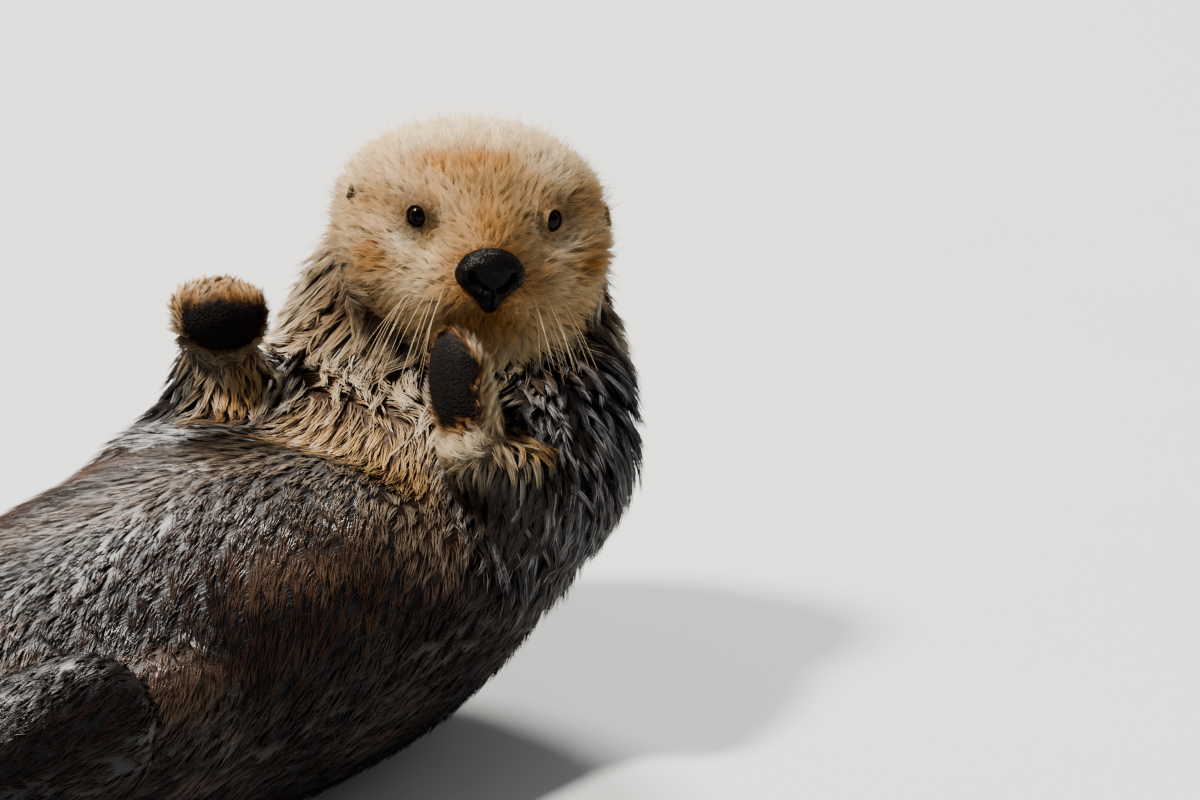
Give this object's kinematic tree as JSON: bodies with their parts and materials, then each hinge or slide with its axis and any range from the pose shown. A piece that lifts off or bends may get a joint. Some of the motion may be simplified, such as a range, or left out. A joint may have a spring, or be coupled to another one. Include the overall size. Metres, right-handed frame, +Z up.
{
  "type": "sea otter",
  "caption": "Life-size sea otter lying on its back with its head raised, both forepaws held up by the chin and the webbed hind feet lifted: a still model.",
  "frame": {"origin": "on the floor under the middle of the bounding box, between the flats of the back that the otter rests on", "axes": "+Z up, out of the belly; +Y from the tail towards the head; +X is the otter's own left side"},
  "size_m": [0.5034, 1.2168, 0.3717],
  "materials": {
    "face": "dry, fluffy cream and golden-brown fur",
    "ruff": "wet cream fur in pointed clumps over dark brown",
    "pelt": "wet, slick, dark brown fur with silvery guard hairs",
    "paw": "short golden-cream fur round dark, pebbled pads",
    "flipper": "short, wet, dark brown fur on webbed skin",
    "nose": "moist black leathery skin",
    "eye": "glossy dark brown",
    "ear": "short brown fur with a dark bare rim"
  },
  "bodies": {
    "root": {"ear_left": "ear", "ear_right": "ear", "eye_left": "eye", "eye_right": "eye", "forearm_left": "ruff", "forearm_right": "ruff", "forepaw_left": "paw", "forepaw_right": "paw", "head": "face", "hind_flipper_left": "flipper", "hind_flipper_right": "flipper", "hind_leg_left": "pelt", "hind_leg_right": "pelt", "neck": "ruff", "nose": "nose", "tail": "pelt", "trunk": "pelt", "upper_arm_left": "pelt", "upper_arm_right": "pelt"}
  },
  "joints": []
}
